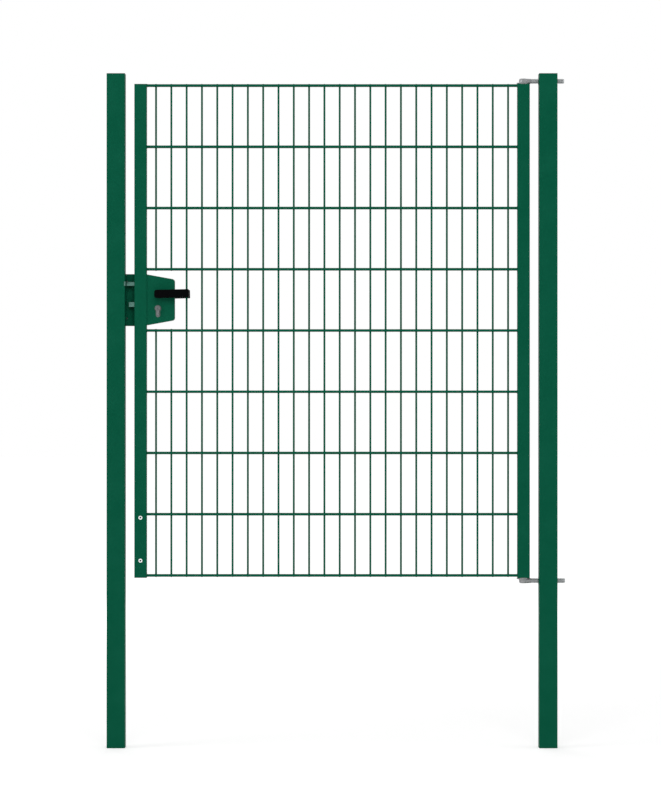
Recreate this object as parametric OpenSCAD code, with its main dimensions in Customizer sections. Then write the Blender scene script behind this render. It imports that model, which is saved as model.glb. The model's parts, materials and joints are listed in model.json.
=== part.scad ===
// Single garden gate: a welded double-wire mesh leaf between two square tube posts.
// Millimetres, +Z up. The origin is the middle of the hinge post's foot. The leaf closes across -X,
// and it opens towards -Y. Its rest place is closed, with the latch and the dead bolt out.

/* [Posts] */
// Side of the square post tube
post_w = 60; // [60:5:100]
// Wall of the post tube
post_wall = 2; // [2:0.5:4]
// Outer corner radius of the post tube
post_corner = 4; // [3:0.5:6]
// Length of post that stands in the ground
foot_depth = 500; // [400:10:800]
// Thickness of a post cap's flange
cap_t = 3; // [2:0.5:5]
// Depth of a post cap's skirt inside the tube
cap_skirt = 7; // [5:0.5:30]
// Gap between the skirt of the hinge post's cap and the upper bolt sleeve
skirt_gap = 3; // [1:0.5:20]

/* [Leaf] */
// Clear width between the posts
opening_w = 1350; // [900:10:1800]
// Gap between the hinge post and the leaf
hinge_gap = 30; // [25:1:45]
// Gap between the latch post and the leaf
latch_gap = 30; // [24:1:40]
// Gap between the ground and the leaf
ground_gap = 55; // [20:5:120]
// Side of the square stile tube
stile_w = 40; // [40:1:60]
// Wall of the stile tube
stile_wall = 2; // [1.5:0.5:3]
// Outer corner radius of the stile tube
stile_corner = 3; // [2:0.5:3]
// Thickness of a stile cap's flange
stile_cap_t = 2; // [1.5:0.5:4]
// Depth of a stile cap's skirt inside the tube
stile_cap_skirt = 18; // [10:1:30]

/* [Mesh] */
// Diameter of the crosswise wires, which run in pairs
wire_d = 8; // [6:0.5:10]
// Diameter of the upright wires
upright_d = 6; // [5:0.5:8]
// Distance between rows of crosswise wires
wire_pitch = 200; // [180:1:240]
// Number of spaces between the rows of crosswise wires
wire_bays = 8; // [6:1:9]
// Distance between upright wires
upright_pitch = 50; // [40:1:60]
// Least distance from a stile to the nearest upright's centre
upright_margin = 30; // [15:1:40]
// How far the wires sink into each other where they are welded
weld_bite = 0.5; // [0.2:0.1:1]
// Length of stile below the lowest wire
stile_tail = 3; // [0:1:30]

/* [Hinges] */
// Diameter of an eye bolt's shank
shank_d = 16; // [12:1:20]
// Diameter of a hinge pin
pin_d = 12; // [8:0.5:14]
// Wall of an eye round its pin
eye_wall = 8; // [7:0.5:14]
// How much thicker an eye is than the shank
eye_extra = 1; // [0.5:0.5:6]
// Radius of the round on an eye's far edge
eye_round = 4; // [1:0.5:5]
// Diameter of the flange on an eye's stile side
flange_d = 44; // [32:1:50]
// Thickness of an eye's flange
flange_t = 3.2; // [2:0.2:6]
// Length of a pin's plug inside the stile
plug_h = 30; // [15:1:60]
// Outer diameter of the washer between a flange and the stile
washer_d = 42; // [24:1:46]
// Thickness of that washer
washer_t = 1.2; // [0.8:0.1:4]
// Length of the upper eye bolt past the post
upper_tail = 23; // [5:1:60]
// Length of the lower eye bolt past the post
lower_tail = 26; // [5:1:60]
// Wall of the threaded sleeve through the post
sleeve_wall = 3; // [2:0.5:5]

/* [Lock] */
// Bay of the mesh that holds the lock, counted from the bottom
lock_bay = 5; // [2:1:6]
// Length of the lock case along the leaf
lock_w = 91.5; // [80:0.5:110]
// Height of the lock case at the stile
lock_h = 166; // [150:1:170]
// Height of the lock case at its far end
lock_end_h = 132.6; // [110:0.2:140]
// How far the lock case's faces stand in from the stile's
lock_inset = 3; // [3:0.5:6]
// Wall of the lock case
lock_wall = 2.5; // [1.5:0.5:3.5]
// Radius of the case's two far corners
lock_corner = 9; // [4:1:15]
// Least clearance between the case and an upright wire
lock_clear = 10; // [5:1:30]
// Distance from the stile to the axes of the lever and the cylinder
backset = 37; // [34:0.5:45]
// Height of the lever's axis above the middle of the case
lever_up = 18; // [15:1:25]
// Height of the latch above the middle of the case
latch_up = 52; // [45:1:55]
// Height of the dead bolt below the middle of the case
dead_down = 15; // [10:1:15]
// Height of the cylinder's round part below the middle of the case
cylinder_down = 28; // [26:1:36]
// Length of the profile cylinder
cylinder_len = 54; // [40:1:60]

/* [Bolts] */
// Height of the latch
latch_h = 12.4; // [8:0.2:16]
// Thickness of the latch
latch_t = 16; // [10:1:18]
// How far short of its strike the latch ends
latch_shy = 1.5; // [1:0.5:6]
// Height of the dead bolt
dead_h = 15.7; // [10:0.1:18]
// Thickness of the dead bolt
dead_t = 12; // [8:1:16]
// How far the dead bolt stands out of the stile
dead_out = 18.6; // [10:0.2:22]

/* [Lever] */
// Length of a lever from its axis to its tip
lever_len = 102; // [80:1:140]
// Length of a lever behind its axis
lever_back = 10; // [10:1:20]
// Height of a lever
lever_h = 27; // [22:1:32]
// Thickness of a lever
lever_t = 14; // [8:1:20]
// Rise of a lever towards its tip, in degrees
lever_rise = 1.3; // [0:0.1:5]
// Radius of a lever's corners behind its axis
lever_back_round = 7; // [1:0.5:9]
// Radius of the corners of a lever's tip
lever_tip_round = 2; // [1:0.5:9]
// Diameter of a lever's neck
neck_d = 20; // [16:1:20]
// Space between a lever and the case
finger_gap = 29; // [24:1:45]
// Side of the square spindle
spindle_w = 8; // [7:1:9]

/* [Keep] */
// Height of the keep plate
keep_h = 170; // [170:1:240]
// Thickness of the keep plate
keep_t = 3; // [2:0.5:5]
// How far the keep plate reaches behind the stile
keep_lap = 20; // [10:1:35]
// Width of the keep plate's foot on the post
keep_foot = 15; // [10:1:17]
// Gap between the stile's back and the keep plate
keep_gap = 5; // [3:0.5:8]
// Thickness of the latch strike
strike_t = 2; // [1:0.5:3]
// Height of the latch strike
strike_h = 14; // [12:1:30]
// Width of the strike's lip over the post's front corner
strike_lip = 5; // [3:1:12]

/* [Inserts] */
// Thread diameter of the inserts in the latch stile
insert_bore = 6; // [5:1:6]
// Outer diameter of an insert's shank
insert_d = 9; // [8:0.5:12]
// Diameter of an insert's flange
insert_flange_d = 13; // [12.5:0.5:16]
// Thickness of an insert's flange
insert_flange_t = 1; // [0.5:0.5:2]
// Depth of an insert behind the stile's face
insert_depth = 16; // [8:1:20]
// Distance between the two inserts
insert_pitch = 140; // [60:1:160]
// Height of the lower insert above the leaf's underside
insert_up = 56; // [30:1:120]

/* [Clearances] */
// Radial clearance between a hinge pin and its eye
pin_clear = 0.08; // [0.05:0.01:0.1]
// Radial clearance between a lever's neck and the lock case
neck_clear = 0.1; // [0.05:0.01:0.2]
// Clearance all round a piece that is fixed in a hole or a tube
fixed_clear = 0.05; // [0.02:0.01:0.1]
// Clearance round a sliding bolt, the spindle, the cylinder or a cap's skirt
slip_clear = 0.4; // [0.2:0.1:0.6]
// Gap between a hinge washer and the flange above or below it
washer_gap = 0.3; // [0.2:0.1:1]

/* [Hidden] */
$fn = 48;
wire_sides = 8;       // sides of a mesh wire
through = 1;          // how far a cutting shape reaches past what it cuts

// Finishes
green = "#06543d";
zinc = "#8f9293";
black = "#0b0b0c";

// Across the gate
axis_x = -(post_w / 2 + hinge_gap + stile_w / 2);
hinge_side_x = -post_w / 2 - hinge_gap;
mesh_hinge_x = hinge_side_x - stile_w;
latch_face_x = -post_w / 2 - opening_w;
latch_side_x = latch_face_x + latch_gap;
mesh_latch_x = latch_side_x + stile_w;
latch_post_x = latch_face_x - post_w / 2;
latch_stile_x = latch_side_x + stile_w / 2;
mesh_w = mesh_hinge_x - mesh_latch_x;

// Up the gate
leaf_z0 = foot_depth + ground_gap;
low_wire_z = leaf_z0 + stile_tail + wire_d / 2;
high_wire_z = low_wire_z + wire_bays * wire_pitch;
leaf_z1 = high_wire_z + wire_d / 2;
lock_z = low_wire_z + (lock_bay - 0.5) * wire_pitch;
eye_d = pin_d + 2 * eye_wall;
eye_h = shank_d + eye_extra;
eye_off = washer_t + washer_gap + eye_h / 2;
sleeve_d = shank_d + 2 * sleeve_wall;
upper_eye_z = leaf_z1 + eye_off;
lower_eye_z = leaf_z0 - eye_off;
post_tube_h = upper_eye_z + sleeve_d / 2 + skirt_gap + cap_skirt;

// The mesh
upright_count = floor((mesh_w - 2 * upright_margin) / upright_pitch) + 1;
upright_x0 = mesh_latch_x + (mesh_w - (upright_count - 1) * upright_pitch) / 2;
wire_off = (wire_d + upright_d) / 2 - weld_bite;
lock_bay_z0 = lock_z - wire_pitch / 2;
lock_bay_z1 = lock_z + wire_pitch / 2;
lock_reach_x = mesh_latch_x + lock_w + lock_clear;

// The lock
lock_t = stile_w - 2 * lock_inset;
lock_axis_x = mesh_latch_x + backset;
lever_z = lock_z + lever_up;
cylinder_z = lock_z - cylinder_down;
latch_z = lock_z + latch_up;
dead_z = lock_z - dead_down;
lever_y = lock_t / 2 + finger_gap;
strike_face_x = latch_face_x + strike_t;
latch_tip_x = strike_face_x + latch_shy;
bolt_end_in = 10;     // length of latch inside the case at rest
dead_end_in = 6;      // length of dead bolt inside the case at rest
latch_end_x = mesh_latch_x + bolt_end_in;
dead_tip_x = latch_side_x - dead_out;
dead_end_x = mesh_latch_x + dead_end_in;

// ---- Shapes that several pieces share ----

// A square with round corners, centred
module round_square(w, r) {
    square([w, w - 2 * r], center = true);
    square([w - 2 * r, w], center = true);
    for (sx = [-1, 1], sy = [-1, 1])
        translate([sx * (w / 2 - r), sy * (w / 2 - r)]) circle(r = r);
}

// A square tube that stands on z = 0
module tube(w, wall, r, h) {
    linear_extrude(h)
        difference() {
            round_square(w, r);
            round_square(w - 2 * wall, max(r - wall, 0.5));
        }
}

// A cap with its flange's underside on z = 0 and its skirt hanging below
module cap(w, wall, r, t, skirt) {
    linear_extrude(t) round_square(w, r);
    inner = w - 2 * wall - 2 * slip_clear;
    translate([0, 0, -skirt]) tube(inner, wall, max(r - wall, 0.5), skirt);
}

// A plain round bar along +X from the origin
module rod_x(d, len) {
    rotate([0, 90, 0]) cylinder(d = d, h = len);
}

// A flat outline in X and Z, given thickness t about y
module plate_xz(y, t) {
    translate([0, y, 0]) rotate([90, 0, 0]) linear_extrude(t, center = true) children();
}

// ---- Posts ----

module post_tube(x) {
    translate([x, 0, 0]) tube(post_w, post_wall, post_corner, post_tube_h);
}

module post_cap(x) {
    translate([x, 0, post_tube_h]) cap(post_w, post_wall, post_corner, cap_t, cap_skirt);
}

module hinge_post() color(green)
    difference() {
        post_tube(0);
        for (z = [lower_eye_z, upper_eye_z])
            translate([-post_w / 2 - through, 0, z])
                rod_x(sleeve_d + 2 * fixed_clear, post_w + 2 * through);
    }

module latch_post() color(green) post_tube(latch_post_x);
module hinge_post_cap() color(green) post_cap(0);
module latch_post_cap() color(green) post_cap(latch_post_x);

// ---- Hinges ----

module bolt_sleeve(z) color(zinc)
    difference() {
        translate([-post_w / 2, 0, z]) rod_x(sleeve_d, post_w);
        translate([-post_w / 2 - through, 0, z])
            rod_x(shank_d + 2 * fixed_clear, post_w + 2 * through);
    }

// Half the section of an eye before it is bored, with its flange at the bottom
module eye_section() {
    translate([0, -eye_h / 2]) {
        square([eye_d / 2 - eye_round, eye_h]);
        square([eye_d / 2, eye_h - eye_round]);
        square([flange_d / 2, flange_t]);
    }
    translate([eye_d / 2 - eye_round, eye_h / 2 - eye_round])
        intersection() {
            circle(r = eye_round);
            square(eye_round);
        }
}

// An eye bolt through the hinge post; up is 1 where the eye is above the leaf and -1 where it is below
module eye_bolt(z, up, tail) color(zinc) {
    chamfer = 1.5;
    shank_len = -axis_x + post_w / 2 + tail - chamfer;
    translate([axis_x, 0, z]) mirror([0, 0, up < 0 ? 1 : 0])
        difference() {
            union() {
                rotate_extrude() eye_section();
                rod_x(shank_d, shank_len);
                translate([shank_len, 0, 0]) rotate([0, 90, 0])
                    cylinder(d1 = shank_d, d2 = shank_d - 2 * chamfer, h = chamfer);
            }
            cylinder(d = pin_d + 2 * pin_clear, h = eye_h + 2 * through, center = true);
        }
}

// A plug inside the stile's end with the pin standing on it; up is 1 for the top and -1 for the foot
module hinge_pin(z, up) color(zinc) {
    pin_short = 0.5;
    plug_w = stile_w - 2 * stile_wall - 2 * fixed_clear;
    translate([axis_x, 0, z]) mirror([0, 0, up < 0 ? 1 : 0]) {
        translate([0, 0, -plug_h]) linear_extrude(plug_h)
            round_square(plug_w, max(stile_corner - stile_wall, 0.5));
        cylinder(d = pin_d, h = washer_t + washer_gap + eye_h - pin_short);
    }
}

module washer(z) color(zinc)
    translate([axis_x, 0, z]) difference() {
        cylinder(d = washer_d, h = washer_t);
        translate([0, 0, -through])
            cylinder(d = pin_d + 2 * fixed_clear, h = washer_t + 2 * through);
    }

module upper_bolt_sleeve() bolt_sleeve(upper_eye_z);
module lower_bolt_sleeve() bolt_sleeve(lower_eye_z);
module upper_eye_bolt() eye_bolt(upper_eye_z, 1, upper_tail);
module lower_eye_bolt() eye_bolt(lower_eye_z, -1, lower_tail);
module upper_hinge_pin() hinge_pin(leaf_z1, 1);
module lower_hinge_pin() hinge_pin(leaf_z0, -1);
module upper_washer() washer(leaf_z1);
module lower_washer() washer(leaf_z0 - washer_t);

// ---- Stiles ----

module hinge_stile() color(green)
    translate([axis_x, 0, leaf_z0]) tube(stile_w, stile_wall, stile_corner, leaf_z1 - leaf_z0);

// A slot right through the stile for a bolt h high and t thick
module bolt_slot(z, h, t) {
    translate([latch_stile_x, 0, z])
        cube([stile_w + 2 * through, t + 2 * slip_clear, h + 2 * slip_clear], center = true);
}

module latch_stile() color(green)
    difference() {
        translate([latch_stile_x, 0, leaf_z0 + stile_cap_t])
            tube(stile_w, stile_wall, stile_corner, leaf_z1 - leaf_z0 - 2 * stile_cap_t);
        bolt_slot(latch_z, latch_h, latch_t);
        bolt_slot(dead_z, dead_h, dead_t);
        for (k = [0, 1])
            insert_place(k) translate([0, 0, -stile_w / 2])
                cylinder(d = insert_d + 2 * fixed_clear, h = stile_w / 2 + through);
    }

module stile_cap(z, up) color(green)
    translate([latch_stile_x, 0, z]) mirror([0, 0, up < 0 ? 1 : 0])
        cap(stile_w, stile_wall, stile_corner, stile_cap_t, stile_cap_skirt);

module stile_top_cap() stile_cap(leaf_z1 - stile_cap_t, 1);
module stile_bottom_cap() stile_cap(leaf_z0 + stile_cap_t, -1);

// ---- Threaded inserts ----

// The place of insert k on the stile's front face, with +Z out of the face
module insert_place(k) {
    translate([latch_stile_x, -stile_w / 2, leaf_z0 + insert_up + k * insert_pitch])
        rotate([90, 0, 0]) children();
}

module insert(k) color(zinc)
    insert_place(k) difference() {
        union() {
            translate([0, 0, -insert_depth]) cylinder(d = insert_d, h = insert_depth);
            cylinder(d = insert_flange_d, h = insert_flange_t);
        }
        translate([0, 0, -insert_depth - through])
            cylinder(d = insert_bore, h = insert_depth + insert_flange_t + 2 * through);
    }

module lower_insert() insert(0);
module upper_insert() insert(1);

// ---- Mesh ----

// A wire across flats d and len long along +Z, with a flat towards the viewer
module wire(d, len) {
    rotate([0, 0, 180 / wire_sides])
        cylinder(d = d / cos(180 / wire_sides), h = len, $fn = wire_sides);
}

// The rows of wire from first to last, with the uprights between z0 and z1
module mesh(first, last, z0, z1) color(green) {
    for (row = [first : last], side = [-1, 1])
        translate([mesh_latch_x, side * wire_off, low_wire_z + row * wire_pitch])
            rotate([0, 90, 0]) wire(wire_d, mesh_w);
    for (i = [0 : upright_count - 1]) {
        x = upright_x0 + i * upright_pitch;
        cut = x < lock_reach_x;
        bottom = cut && z0 > leaf_z0 + stile_tail ? lock_bay_z1 - wire_d / 2 : z0;
        top = cut && z1 < leaf_z1 ? lock_bay_z0 + wire_d / 2 : z1;
        translate([x, 0, bottom]) wire(upright_d, top - bottom);
    }
}

module lower_mesh() mesh(0, lock_bay - 1, leaf_z0 + stile_tail, lock_z);
module upper_mesh() mesh(lock_bay, wire_bays, lock_z, leaf_z1);

// ---- Lock ----

// The case seen from the front: its origin is at the middle of the stile side, and it narrows towards +X
module lock_outline(inset) {
    slope = atan2((lock_h - lock_end_h) / 2, lock_w);
    near_h = lock_h / 2 - inset / cos(slope);
    far_x = lock_w - inset;
    r = lock_corner - inset;
    cx = far_x - r;
    cz = near_h - cx * tan(slope) - r / cos(slope);
    tx = cx + r * sin(slope);
    tz = cz + r * cos(slope);
    polygon([[0, -near_h], [tx, -tz], [cx, -cz], [far_x, -cz], [far_x, cz], [cx, cz], [tx, tz], [0, near_h]]);
    for (side = [-1, 1]) translate([cx, side * cz]) circle(r = r);
}

// A profile cylinder's outline with its round part at the origin, grown by grow
module cylinder_outline(grow) {
    round_d = 17;
    foot_r = 5;
    total_h = 33;
    foot_z = -(total_h - round_d / 2 - foot_r);
    circle(d = round_d + 2 * grow);
    translate([-foot_r - grow, foot_z]) square([2 * (foot_r + grow), -foot_z]);
    translate([0, foot_z]) circle(r = foot_r + grow);
}

module lock_case() color(green)
    difference() {
        translate([mesh_latch_x, 0, lock_z]) plate_xz(0, lock_t) lock_outline(0);
        translate([mesh_latch_x - through, 0, lock_z])
            plate_xz(0, lock_t - 2 * lock_wall) {
                translate([through, 0]) lock_outline(lock_wall);
                translate([0, -lock_h / 2 + 2 * lock_wall])
                    square([2 * through, lock_h - 4 * lock_wall]);
            }
        translate([lock_axis_x, 0, lever_z]) rotate([90, 0, 0])
            cylinder(d = neck_d + 2 * neck_clear, h = lock_t + 2 * through, center = true);
        translate([lock_axis_x, 0, cylinder_z])
            plate_xz(0, lock_t + 2 * through) cylinder_outline(slip_clear);
    }

module lock_cylinder() color(zinc)
    translate([lock_axis_x, 0, cylinder_z]) plate_xz(0, cylinder_len) cylinder_outline(0);

// ---- Lever handles: side is -1 in front and 1 behind ----

neck_in = lock_t / 2 - lock_wall + 0.5;   // where a neck starts, inside the case's wall
socket_depth = 20;                        // depth of the spindle's socket in a neck

module spindle() color(zinc)
    translate([lock_axis_x, 0, lever_z])
        cube([spindle_w, 2 * (neck_in + socket_depth - through), spindle_w], center = true);

module neck(side) color(black)
    translate([lock_axis_x, side * neck_in, lever_z]) rotate([-90 * side, 0, 0])
        difference() {
            cylinder(d = neck_d, h = lever_y - neck_in);
            socket_w = spindle_w + 2 * slip_clear;
            translate([-socket_w / 2, -socket_w / 2, -through])
                cube([socket_w, socket_w, socket_depth + through]);
        }

// Half a lever's outline: from its axis to an end at len, whose corners have radius r
module lever_end(len, r) {
    translate([0, -lever_h / 2]) square([len - r, lever_h]);
    translate([0, -lever_h / 2 + r]) square([len, lever_h - 2 * r]);
    for (side = [-1, 1]) translate([len - r, side * (lever_h / 2 - r)]) circle(r = r);
}

module lever_outline() {
    lever_end(lever_len, lever_tip_round);
    mirror([1, 0]) lever_end(lever_back, lever_back_round);
}

module lever(side) color(black)
    translate([lock_axis_x, 0, lever_z])
        plate_xz(side * (lever_y + lever_t / 2), lever_t) rotate(lever_rise) lever_outline();

module front_neck() neck(-1);
module back_neck() neck(1);
module front_lever() lever(-1);
module back_lever() lever(1);

// ---- Bolts ----

// The latch is bevelled at the back of its tip, where it meets the keep as the leaf closes
module latch_bolt() color(zinc) {
    bevel = latch_t * 0.6;
    translate([0, 0, latch_z - latch_h / 2]) linear_extrude(latch_h)
        polygon([
            [latch_tip_x, -latch_t / 2], [latch_end_x, -latch_t / 2], [latch_end_x, latch_t / 2],
            [latch_tip_x + bevel, latch_t / 2], [latch_tip_x, latch_t / 2 - bevel]
        ]);
}

module dead_bolt() color(zinc)
    translate([dead_tip_x, -dead_t / 2, dead_z - dead_h / 2])
        cube([dead_end_x - dead_tip_x, dead_t, dead_h]);

// ---- Keep ----

keep_y0 = stile_w / 2 + keep_gap;

// An angle on the latch post's inner face: its long leg stands behind the bolts and the stile
module keep_plate() color(green)
    translate([0, 0, lock_z - keep_h / 2]) linear_extrude(keep_h) {
        translate([latch_face_x, keep_y0]) square([latch_gap + keep_lap, keep_t]);
        translate([latch_face_x, keep_y0 + keep_t - keep_foot]) square([keep_t, keep_foot]);
    }

// A wear plate for the latch, folded round the post's front corner
module latch_strike() color(zinc)
    translate([0, 0, latch_z - strike_h / 2]) linear_extrude(strike_h) {
        front_y = -post_w / 2 - strike_t;
        translate([latch_face_x, front_y]) square([strike_t, latch_t / 2 - front_y]);
        translate([strike_face_x - strike_lip, front_y]) square([strike_lip, strike_t]);
    }

hinge_post();
hinge_post_cap();
latch_post();
latch_post_cap();
upper_bolt_sleeve();
lower_bolt_sleeve();
upper_eye_bolt();
lower_eye_bolt();
keep_plate();
latch_strike();
hinge_stile();
latch_stile();
stile_top_cap();
stile_bottom_cap();
upper_hinge_pin();
lower_hinge_pin();
upper_washer();
lower_washer();
upper_mesh();
lower_mesh();
upper_insert();
lower_insert();
lock_case();
lock_cylinder();
spindle();
front_neck();
front_lever();
back_neck();
back_lever();
latch_bolt();
dead_bolt();
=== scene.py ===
# %% [markdown]
# # A single garden gate
# The construction is already settled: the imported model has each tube, bolt and plate at its true size
# and place. This script gives it its looks. We load that model as a fixed frame, put up a camera and
# a soft studio, mix the finishes, and then make what a plain solid can't show: round welded wires,
# threads, weld beads, screws and soft edges. Everything is in metres, +Z up, and the viewer stands
# at -Y.

# %% Load the frame
import json
from math import acos, copysign, cos, degrees, pi, radians, sin

import bmesh
import bpy
from mathutils import Matrix, Vector

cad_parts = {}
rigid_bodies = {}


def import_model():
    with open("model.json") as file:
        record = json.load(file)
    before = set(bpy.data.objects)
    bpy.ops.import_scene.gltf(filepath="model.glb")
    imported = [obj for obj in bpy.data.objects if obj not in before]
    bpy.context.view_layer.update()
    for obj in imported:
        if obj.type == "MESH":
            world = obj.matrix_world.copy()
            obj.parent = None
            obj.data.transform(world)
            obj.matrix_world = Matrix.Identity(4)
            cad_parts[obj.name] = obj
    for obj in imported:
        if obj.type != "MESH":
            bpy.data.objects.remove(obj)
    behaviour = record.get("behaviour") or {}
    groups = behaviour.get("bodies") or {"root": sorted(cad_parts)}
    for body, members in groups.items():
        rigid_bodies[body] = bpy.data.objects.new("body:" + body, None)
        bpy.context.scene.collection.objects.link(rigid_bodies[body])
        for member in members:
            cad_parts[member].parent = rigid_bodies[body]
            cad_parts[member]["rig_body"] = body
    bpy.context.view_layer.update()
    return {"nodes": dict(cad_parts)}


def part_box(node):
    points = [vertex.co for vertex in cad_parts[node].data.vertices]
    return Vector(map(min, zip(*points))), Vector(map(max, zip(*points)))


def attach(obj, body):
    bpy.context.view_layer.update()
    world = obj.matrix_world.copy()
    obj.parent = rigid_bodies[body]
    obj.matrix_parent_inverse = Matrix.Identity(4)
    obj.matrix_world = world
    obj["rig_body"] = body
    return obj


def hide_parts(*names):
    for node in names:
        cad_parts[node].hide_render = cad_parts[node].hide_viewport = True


for leftover in list(bpy.data.objects):
    bpy.data.objects.remove(leftover)
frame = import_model()
nodes = frame["nodes"]
scene = bpy.context.scene
MM = 0.001

# %% [markdown]
# ## Camera
# The gate is seen square on, from far away: its posts stay parallel and its sides don't show. A long
# lens at 12 m gives that. We could also use an orthographic camera, but a real lens keeps the little
# convergence that tells the eye how deep the posts are.

# %% Camera
CAMERA_PLACE, LENS, SENSOR, SIGHT = (-0.7101, -12.0, 1.135), 165.3, 36.0, 200.0
camera_data = bpy.data.cameras.new("camera")
camera_data.sensor_width = SENSOR
camera_data.lens = LENS
camera_data.clip_end = SIGHT
camera = bpy.data.objects.new("camera", camera_data)
camera.location = CAMERA_PLACE
camera.rotation_euler = (radians(90), 0, 0)
scene.collection.objects.link(camera)
scene.camera = camera
scene.view_settings.view_transform = "Standard"
print("camera:", tuple(round(v, 3) for v in camera.location), "lens", camera_data.lens)

# %% [markdown]
# ## One helper for every node tree
# Shader trees and Geometry Nodes trees are built the same way: make a node, set what is fixed, and
# link what comes from another node. One helper does both, so each tree below reads like a recipe.

# %% Node helper
def node(tree, kind, inputs=None, **settings):
    """Adds a node. Inputs are named or numbered, and each is a value or another node's output."""
    made = tree.nodes.new(kind)
    for key, value in settings.items():
        setattr(made, key, value)
    for key, value in (inputs or {}).items():
        if isinstance(value, bpy.types.NodeSocket):
            tree.links.new(value, made.inputs[key])
        else:
            made.inputs[key].default_value = value
    return made


def shader_tree(holder):
    """Empties a material's or a world's node tree and returns it."""
    holder.use_nodes = True
    holder.node_tree.nodes.clear()
    return holder.node_tree


def value_of(tree, operation, *operands):
    """One Math node's output."""
    return node(tree, "ShaderNodeMath", dict(enumerate(operands)), operation=operation).outputs[0]


# %% [markdown]
# ## Studio
# Powder coat and zinc look right in plain soft light. A white sky gives most of it, and four large
# soft lamps add a little direction, so that flat faces, round wires and edges part from each other.
# The sky is a full white only to the eye, in mirrors and through glass, so that white lights nothing.

# %% Sky
SKY_LIGHT = 0.46
world = bpy.data.worlds.new("studio_sky")
scene.world = world
sky = shader_tree(world)


def only_seen(tree):
    """1 for a ray from the eye, off a mirror or through glass, and 0 for light that falls on things."""
    rays = node(tree, "ShaderNodeLightPath")
    indirect = value_of(tree, "MAXIMUM", rays.outputs["Is Glossy Ray"], rays.outputs["Is Transmission Ray"])
    return value_of(tree, "MAXIMUM", rays.outputs["Is Camera Ray"], indirect)


strength = node(sky, "ShaderNodeMapRange", {"Value": only_seen(sky), "To Min": SKY_LIGHT, "To Max": 1.0})
sky_colour = node(sky, "ShaderNodeBackground", {"Color": (1, 1, 1, 1), "Strength": strength.outputs[0]})
node(sky, "ShaderNodeOutputWorld", {"Surface": sky_colour.outputs[0]})
print("sky:", SKY_LIGHT, "of full white on the gate")

# %% Lamps
GATE_MIDDLE = Vector((-0.7, 0, 1.1))


def soft_lamp(name, place, size, power, mirrored=True):
    """A square lamp that looks at the middle of the gate; metal may mirror it or only the white studio."""
    data = bpy.data.lights.new(name, "AREA")
    data.size = size
    data.energy = power
    lamp = bpy.data.objects.new(name, data)
    lamp.location = place
    lamp.visible_glossy = mirrored
    lamp.rotation_euler = (GATE_MIDDLE - Vector(place)).to_track_quat("-Z", "Y").to_euler()
    scene.collection.objects.link(lamp)


soft_lamp("front_lamp", (-0.7, -8.0, 4.2), 4.0, 292, mirrored=False)
soft_lamp("left_lamp", (-6.5, -3.0, 4.0), 4.0, 110)
soft_lamp("right_lamp", (5.5, -1.5, 3.0), 4.0, 60)
soft_lamp("back_lamp", (-1.5, 7.5, 4.5), 5.0, 210, mirrored=False)

# %% [markdown]
# ## Floor
# The posts stand on a plain pale floor. To the eye it is white, like the backdrop. A part of that is
# lit by the lamps, so the gate keeps its shadow, and the rest is glow. Far from the gate the lamps
# fade out, so the glow grows with the distance and no grey horizon shows.

# %% Floor paint
NEAR, FAR, NEAR_GLOW, FAR_GLOW = 3.5, 8.5, 0.43, 0.72
floor_paint = bpy.data.materials.new("pale_floor")
tree = shader_tree(floor_paint)
lit = node(tree, "ShaderNodeBsdfDiffuse", {"Color": (0.70, 0.70, 0.70, 1)})
place = node(tree, "ShaderNodeTexCoord").outputs["Object"]
away = node(tree, "ShaderNodeVectorMath", {0: place, 1: (GATE_MIDDLE.x, 0, 0)},
            operation="DISTANCE").outputs["Value"]
level = node(tree, "ShaderNodeMapRange", {"Value": away, "From Min": NEAR, "From Max": FAR,
                                          "To Min": NEAR_GLOW, "To Max": FAR_GLOW},
             interpolation_type="SMOOTHSTEP").outputs[0]
glow = node(tree, "ShaderNodeEmission", {"Color": (1, 1, 1, 1), "Strength": level})
to_eye = node(tree, "ShaderNodeAddShader", {0: lit.outputs[0], 1: glow.outputs[0]})
plain = node(tree, "ShaderNodeBsdfDiffuse", {"Color": (0.8, 0.8, 0.8, 1)})
both = node(tree, "ShaderNodeMixShader", {0: only_seen(tree), 1: plain.outputs[0], 2: to_eye.outputs[0]})
node(tree, "ShaderNodeOutputMaterial", {"Surface": both.outputs[0]})
print("floor glow:", NEAR_GLOW, "near the gate,", FAR_GLOW, "far away")

# %% Floor sheet
FLOOR_REACH = 60.0
corners = ((-1, -1), (1, -1), (1, 1), (-1, 1))
floor_mesh = bpy.data.meshes.new("floor")
floor_mesh.from_pydata([(x * FLOOR_REACH, y * FLOOR_REACH, 0) for x, y in corners], [], [(0, 1, 2, 3)])
floor_mesh.materials.append(floor_paint)
floor = bpy.data.objects.new("floor", floor_mesh)
scene.collection.objects.link(floor)
print("floor:", FLOOR_REACH, "m each way")

# %% [markdown]
# ## Finishes
# Every finish is one small tree with the same plan. A soft noise mixes two close colours, a second
# one moves the roughness, and a fine one raises a bump: the orange peel of powder coat, the grain
# of moulded plastic, or the brushing of steel. They all read Object coordinates, so the grain has one
# true size on every piece.

# %% Finish helper
def noise(tree, place, size, detail=2.0):
    """Noise whose blotches are about size millimetres wide."""
    made = node(tree, "ShaderNodeTexNoise", {"Vector": place, "Scale": 1000 / size, "Detail": detail})
    return made.outputs["Fac"]


def blend_of(tree, factor, low, high):
    """A colour between low and high."""
    mixed = node(tree, "ShaderNodeMix", data_type="RGBA", clamp_factor=True)
    mixed.inputs[6].default_value = (*low, 1)
    mixed.inputs[7].default_value = (*high, 1)
    tree.links.new(factor, mixed.inputs[0])
    return mixed.outputs[2]


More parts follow.
